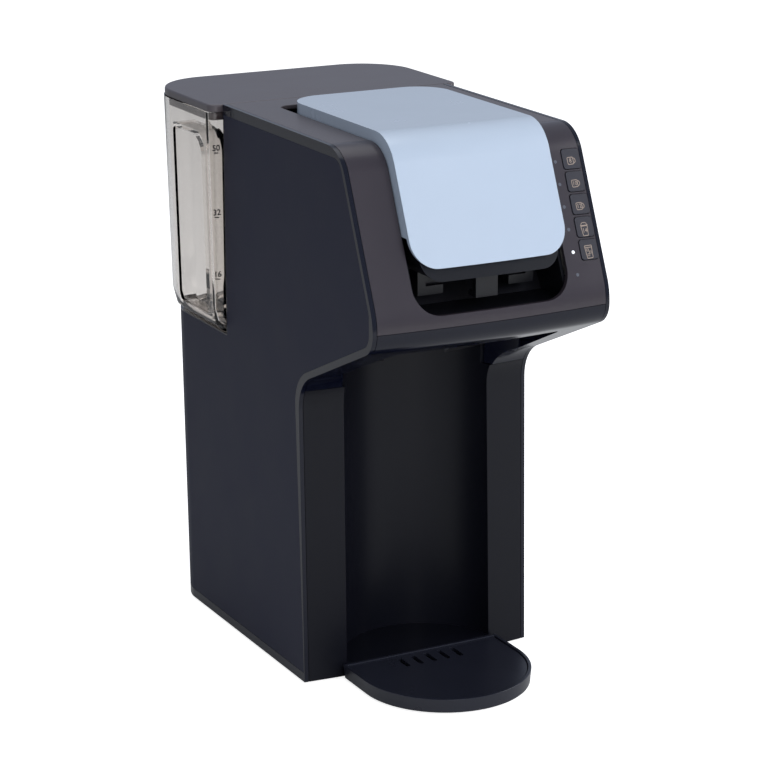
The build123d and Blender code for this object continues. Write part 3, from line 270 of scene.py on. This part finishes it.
def plastic(name, colour, rough, grain=0.0, grain_scale=900.0, specular=0.5, coat=0.0, vary=0.12):
    """Moulded plastic with slightly uneven tone and gloss and a fine grain."""
    material = bpy.data.materials.new(name)
    material.use_nodes = True
    tree = material.node_tree
    shader = tree.nodes["Principled BSDF"]
    shader.inputs["Specular IOR Level"].default_value = specular
    shader.inputs["Coat Weight"].default_value = coat
    shader.inputs["Coat Roughness"].default_value = COAT_ROUGHNESS
    place = tree.nodes.new("ShaderNodeTexCoord")
    cloud = tree.nodes.new("ShaderNodeTexNoise")
    cloud.inputs["Scale"].default_value = CLOUD_SCALE
    cloud.inputs["Detail"].default_value = CLOUD_DETAIL
    tree.links.new(place.outputs["Object"], cloud.inputs["Vector"])
    tone = tree.nodes.new("ShaderNodeMapRange")
    tone.inputs["To Min"].default_value = 1.0 - vary
    tone.inputs["To Max"].default_value = 1.0 + vary
    tree.links.new(cloud.outputs["Fac"], tone.inputs["Value"])
    tint = tree.nodes.new("ShaderNodeVectorMath")
    tint.operation = "SCALE"
    tint.inputs[0].default_value = colour[:3]
    tree.links.new(tone.outputs["Result"], tint.inputs["Scale"])
    tree.links.new(tint.outputs["Vector"], shader.inputs["Base Color"])
    gloss = tree.nodes.new("ShaderNodeMapRange")
    gloss.inputs["To Min"].default_value = rough * GLOSS_LOW
    gloss.inputs["To Max"].default_value = rough * GLOSS_HIGH
    tree.links.new(cloud.outputs["Fac"], gloss.inputs["Value"])
    tree.links.new(gloss.outputs["Result"], shader.inputs["Roughness"])
    if grain > 0:
        fine = tree.nodes.new("ShaderNodeTexNoise")
        fine.inputs["Scale"].default_value = grain_scale
        fine.inputs["Detail"].default_value = GRAIN_DETAIL
        tree.links.new(place.outputs["Object"], fine.inputs["Vector"])
        bump = tree.nodes.new("ShaderNodeBump")
        bump.inputs["Strength"].default_value = grain
        bump.inputs["Distance"].default_value = GRAIN_DEPTH
        tree.links.new(fine.outputs["Fac"], bump.inputs["Height"])
        tree.links.new(bump.outputs["Normal"], shader.inputs["Normal"])
    return material


def clear_plastic(name):
    """Polished clear plastic with a faint warm grey tone."""
    material = plastic(name, linear("F4F1EE"), 0.03, vary=0.01)
    shader = material.node_tree.nodes["Principled BSDF"]
    shader.inputs["Transmission Weight"].default_value = 1.0
    shader.inputs["IOR"].default_value = CLEAR_IOR
    return material


def metal(name, colour, rough):
    """Brushed or cast metal with a fine grain."""
    material = plastic(name, colour, rough, grain=0.15, grain_scale=1500)
    material.node_tree.nodes["Principled BSDF"].inputs["Metallic"].default_value = 1.0
    return material


def glowing(name, colour, strength):
    """Plastic lens lit from behind."""
    material = plastic(name, colour, 0.3, vary=0.02)
    shader = material.node_tree.nodes["Principled BSDF"]
    shader.inputs["Emission Color"].default_value = GLOW_COLOUR
    shader.inputs["Emission Strength"].default_value = strength
    return material


materials = {
    "gloss_shell": plastic("gloss_shell", linear("0A0D1C"), 0.18, specular=0.38),
    "matte_panel": plastic("matte_panel", linear("232536"), 0.5, grain=0.25, specular=0.14),
    "satin_cover": plastic("satin_cover", linear("4A4449"), 0.38, grain=0.2, specular=0.8),
    "lid_blue": plastic("lid_blue", linear("B7C6DA"), 0.26, vary=0.02, coat=0.5),
    "inner_black": plastic("inner_black", linear("0E0E13"), 0.35, grain=0.15),
    "tray_black": plastic("tray_black", linear("1F212C"), 0.28, grain=0.1),
    "button_black": plastic("button_black", linear("2A2A33"), 0.42),
    "clear_plastic": clear_plastic("clear_plastic"),
    "valve_plastic": plastic("valve_plastic", linear("C9CBCC"), 0.4),
    "lens_white": plastic("lens_white", linear("5A5E68"), 0.3),
    "foot_rubber": plastic("foot_rubber", linear("1A1A1A"), 0.8, grain=0.4),
    "silicone": plastic("silicone", linear("C9C9C2"), 0.5),
    "steel": metal("steel", linear("B8B8BA"), 0.3),
    "heater_metal": metal("heater_metal", linear("BFC0C2"), 0.45),
    "pump_plastic": plastic("pump_plastic", linear("3A3A3C"), 0.5),
    "board_green": plastic("board_green", linear("14502A"), 0.4),
}
fascia_satin = plastic("fascia_satin", linear("322D34"), 0.3, specular=0.55)
# Cup bay: a rougher, less shiny copy of the gloss shell plastic, as painted shade for the dark recess under
# the head
bay_painted_shade = plastic("bay_painted_shade", linear("0D0E16"), 0.34, specular=0.25)
marking_tan = plastic("marking_tan", linear("9A8C82"), 0.5, vary=0.04)
marking_black = plastic("marking_black", linear("17171C"), 0.5, vary=0.04)
lamp_lit = glowing("lamp_lit", linear("C8CCD2"), 0.7)
node_material = {
    "front_fascia": fascia_satin,
    "cup_bay": bay_painted_shade,
}


def dress_nodes():
    """Gives each carried-over solid its finished material."""
    for name, obj in nodes.items():
        obj.data.materials.clear()
        obj.data.materials.append(node_material.get(name, materials[node_slot[name]]))


def softened(node, width):
    """A copy of a solid with its sharp edges rounded over, which stands for that solid."""
    mesh = nodes[node].data.copy()
    mesh.name = node + "_soft"
    work = bmesh.new()
    work.from_mesh(mesh)
    bmesh.ops.remove_doubles(work, verts=work.verts, dist=SAME_POINT)
    bmesh.ops.dissolve_limit(work, angle_limit=FLAT_ANGLE, verts=work.verts, edges=work.edges)
    for face in work.faces:
        face.smooth = True
    for edge in work.edges:
        edge.smooth = True
    work.to_mesh(mesh)
    work.free()
    if mesh.has_custom_normals:
        mesh.attributes.remove(mesh.attributes["custom_normal"])
    material = node_material.get(node, materials[node_slot[node]])
    piece = place_piece(node + "_soft", mesh, material, node_body[node])
    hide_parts(node)
    bevel = piece.modifiers.new("round_edges", "BEVEL")
    bevel.width = width
    bevel.segments = EDGE_SEGMENTS
    bevel.limit_method = "ANGLE"
    bevel.angle_limit = EDGE_ANGLE
    bevel.use_clamp_overlap = True
    even = piece.modifiers.new("even_shading", "WEIGHTED_NORMAL")
    even.weight = NORMAL_WEIGHT


# Markings: flat printed lines and plain numbers

class Face:
    """A patch of a solid's surface to print on: a middle point, a right, an up and an outward direction."""

    def __init__(self, node, middle, right, up):
        self.right = right.normalized()
        self.out = self.right.cross(up).normalized()
        self.up = self.out.cross(self.right)
        mesh = nodes[node].data
        faces = [polygon.vertices[:] for polygon in mesh.polygons]
        self.tree = BVHTree.FromPolygons([vertex.co for vertex in mesh.vertices], faces)
        start = middle + self.out * SEARCH_HEIGHT * MM
        self.middle = self.tree.ray_cast(start, -self.out)[0]

    def point(self, u, v, lift):
        """The surface point at millimetres right and up of the middle, lifted off the surface."""
        place = self.middle + (self.right * u + self.up * v) * MM
        found = self.tree.ray_cast(place + self.out * SEARCH_NEAR * MM, -self.out)[0]
        return (found or place) + self.out * lift * MM


def ribbon(work, face, points, width, closed):
    """A flat line along a path of points, as a thin closed prism."""
    count = len(points)
    rows = []
    for i, (u, v) in enumerate(points):
        before = points[i - 1] if closed or i > 0 else points[i]
        after = points[(i + 1) % count] if closed or i < count - 1 else points[i]
        run = Vector((after[0] - before[0], after[1] - before[1])).normalized()
        side = Vector((-run.y, run.x)) * width / 2
        row = []
        for lift in (PRINT_LIFT, -PRINT_SINK):
            for sign in (-1, 1):
                row.append(work.verts.new(face.point(u + sign * side.x, v + sign * side.y, lift)))
        rows.append(row)
    pairs = zip(rows, rows[1:] + rows[:1]) if closed else zip(rows, rows[1:])
    for a, b in pairs:
        for i, j in ((0, 1), (1, 3), (3, 2), (2, 0)):
            work.faces.new((a[i], a[j], b[j], b[i]))
    if not closed:
        for row in (rows[0], rows[-1]):
            work.faces.new((row[0], row[1], row[3], row[2]))


def rounded(points, radius, steps=4):
    """A closed path with its corners rounded over."""
    path = []
    count = len(points)
    for i, point in enumerate(points):
        here = Vector(point)
        before = Vector(points[i - 1])
        after = Vector(points[(i + 1) % count])
        start = here + (before - here).normalized() * radius
        end = here + (after - here).normalized() * radius
        for step in range(steps + 1):
            t = step / steps
            spot = start * (1 - t) ** 2 + here * 2 * t * (1 - t) + end * t ** 2
            path.append((spot.x, spot.y))
    return path


def printed(name, face, lines, width, material, body, slot):
    """Lines printed on a surface as one piece."""
    work = bmesh.new()
    for points, closed in lines:
        ribbon(work, face, points, width, closed)
    bmesh.ops.recalc_face_normals(work, faces=work.faces)
    mesh = bpy.data.meshes.new(name)
    work.to_mesh(mesh)
    work.free()
    return place_piece(name, mesh, material, body)


def printed_number(name, text, face, size, shift, bold, material, body, slot):
    """A plain number as a thin solid on a surface."""
    curve = bpy.data.curves.new(name + "_outline", "FONT")
    curve.body = text
    curve.size = size * MM
    curve.align_x = "CENTER"
    curve.align_y = "CENTER"
    curve.extrude = (PRINT_LIFT + PRINT_SINK) / 2 * MM
    curve.offset = bold * MM
    curve.resolution_u = 3
    source = bpy.data.objects.new(name + "_outline", curve)
    scene.collection.objects.link(source)
    bpy.context.view_layer.update()
    mesh = bpy.data.meshes.new_from_object(source.evaluated_get(bpy.context.evaluated_depsgraph_get()))
    bpy.data.objects.remove(source)
    place = face.point(shift[0], shift[1], (PRINT_LIFT - PRINT_SINK) / 2)
    turn = Matrix((face.right, face.up, face.out)).transposed().to_4x4()
    mesh.transform(Matrix.Translation(place) @ turn)
    return place_piece(name, mesh, material, body)


def button_face(index):
    """The front of a button, to print on."""
    up = Vector((0, math.sin(FASCIA_ANGLE), math.cos(FASCIA_ANGLE)))
    middle = Vector((BUTTON_X, 0, BUTTON_TOP_Z - index * BUTTON_PITCH))
    node = BUTTONS[index]
    middle.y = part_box(node)[0].y
    bow = math.asin(BUTTON_X / FASCIA_BOW)
    right = Vector((math.cos(bow), math.sin(bow), 0))
    return Face(node, middle, right, up)


def mug_lines():
    """A squat mug with a round handle at its right."""
    body = rounded([(-2.5, -2.0), (1.4, -2.0), (1.4, 2.0), (-2.5, 2.0)], 0.7)
    handle = [(1.4, 1.5), (2.3, 1.2), (2.8, 0.4), (2.8, -0.4), (2.3, -1.2), (1.4, -1.5)]
    return [(body, True), (handle, False)]


def travel_mug_lines():
    """A tall mug with a rim and a lid."""
    body = rounded([(-1.7, -4.0), (1.7, -4.0), (2.2, 1.6), (-2.2, 1.6)], 0.5)
    rim = [(-2.6, 1.9), (2.6, 1.9)]
    lid = [(-2.0, 1.9), (-1.8, 2.9), (-1.0, 3.5), (1.0, 3.5), (1.8, 2.9), (2.0, 1.9)]
    return [(body, True), (rim, False), (lid, False)]


def tumbler_lines():
    """A tall glass with a lid line and three cubes."""
    body = rounded([(-1.9, -3.8), (1.9, -3.8), (2.4, 3.4), (-2.4, 3.4)], 0.5)
    lid = [(-2.3, 2.3), (2.3, 2.3)]
    lines = [(body, True), (lid, False)]
    for u, v in ((-0.8, 0.9), (0.8, -0.5), (-0.6, -1.9)):
        cube = [(u - 0.7, v - 0.5), (u + 0.5, v - 0.7), (u + 0.7, v + 0.5), (u - 0.5, v + 0.7)]
        lines.append((cube, True))
    return lines


def mark_buttons():
    """Cup signs and plain numbers on the buttons."""
    signs = [
        (mug_lines, "8", MUG_SHIFT),
        (mug_lines, "10", MUG_SHIFT),
        (mug_lines, "12", MUG_SHIFT),
        (travel_mug_lines, "14", TRAVEL_MUG_SHIFT),
        (tumbler_lines, None, None),
    ]
    for index, (lines, number, shift) in enumerate(signs):
        look = (marking_tan, node_body[BUTTONS[index]], "lens_white")
        face = button_face(index)
        printed(f"cup_sign_{index + 1}", face, lines(), SIGN_LINE, *look)
        if number:
            printed_number(f"cup_number_{number}", number, face, SIGN_SIZE, shift, SIGN_BOLD, *look)


def mark_tank():
    """Plain numbers and ticks on the front edge of the tank, left and right."""
    look = (marking_black, "water_tank", "inner_black")
    front_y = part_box("water_tank")[0].y
    for side, word in ((-1, "left"), (1, "right")):
        for number, z in SCALE_MARKS.items():
            middle = Vector((side * SCALE_X, front_y, z))
            face = Face("water_tank", middle, Vector((1, 0, 0)), Vector((0, 0, 1)))
            name = f"tank_{number}_{word}"
            printed_number(name, number, face, SCALE_SIZE, (0, 0), SCALE_BOLD, *look)
            tick = [([(-TICK_HALF, -TICK_DROP), (TICK_HALF, -TICK_DROP)], False)]
            printed(name + "_tick", face, tick, TICK_LINE, *look)


def make_lights():
    """The lenses beside the buttons as separate pieces, one of them lit."""
    source = nodes["light_lenses"].data
    work = bmesh.new()
    work.from_mesh(source)
    bmesh.ops.remove_doubles(work, verts=work.verts, dist=SAME_POINT)
    work.verts.index_update()
    groups = []
    waiting = set(work.verts)
    while waiting:
        group = {waiting.pop()}
        edge_of_group = list(group)
        while edge_of_group:
            vert = edge_of_group.pop()
            for edge in vert.link_edges:
                other = edge.other_vert(vert)
                if other not in group:
                    group.add(other)
                    edge_of_group.append(other)
        waiting -= group
        groups.append(group)
    groups.sort(key=lambda group: -max(vert.co.z for vert in group))
    for index, group in enumerate(groups):
        verts = sorted(group, key=lambda vert: vert.index)
        number = {vert: i for i, vert in enumerate(verts)}
        faces = [[number[v] for v in face.verts] for face in work.faces if face.verts[0] in group]
        mesh = bpy.data.meshes.new(f"light_{index + 1}")
        mesh.from_pydata([v.co[:] for v in verts], [], faces)
        material = lamp_lit if index == LIT_LIGHT else materials["lens_white"]
        piece = place_piece(f"light_{index + 1}", mesh, material, "machine")
        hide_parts("light_lenses")
    work.free()


make_camera()
make_world()
make_floor()
for lamp in LAMPS:
    make_lamp(*lamp)
dress_nodes()
for node, width in ROUNDING.items():
    softened(node, width * MM)
mark_buttons()
mark_tank()
make_lights()

scene.view_settings.view_transform = "Standard"
